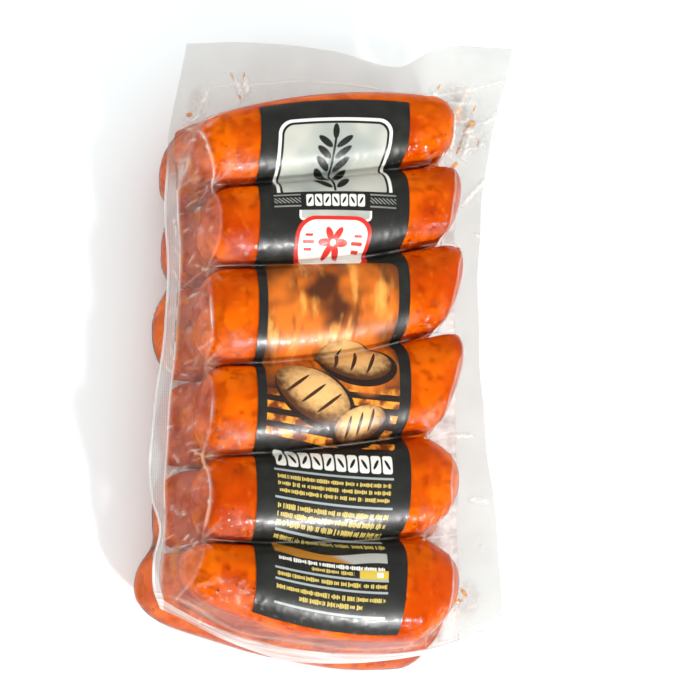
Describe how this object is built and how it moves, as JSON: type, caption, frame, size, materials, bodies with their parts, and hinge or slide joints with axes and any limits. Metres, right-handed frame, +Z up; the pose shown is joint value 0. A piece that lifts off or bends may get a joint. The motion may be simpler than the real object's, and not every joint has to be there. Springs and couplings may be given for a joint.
{
  "type": "vacuum pack of sausage links",
  "caption": "Clear vacuum pack holding two layers of orange-red smoked sausage links, with a sealed film edge all round and a black printed strip down its front.",
  "frame": {"origin": "under the middle of the pack, on the surface that it lies on", "axes": "+X along the links towards the pack's wide sealed side, +Y along the pack towards its wide sealed end, +Z up out of the printed front"},
  "size_m": [0.1442, 0.2428, 0.0599],
  "materials": {
    "sausage": "orange-red smoked casing, mottled and speckled, pressed against clear film",
    "film": "clear glossy vacuum film, a little milky where it stands off the links",
    "print": "black print with silver, amber and white fields, under glossy film",
    "oil": "orange oil trapped as drops and streaks in the film"
  },
  "bodies": {
    "root": {"pouch": "sausage", "label": "print"}
  },
  "joints": []
}
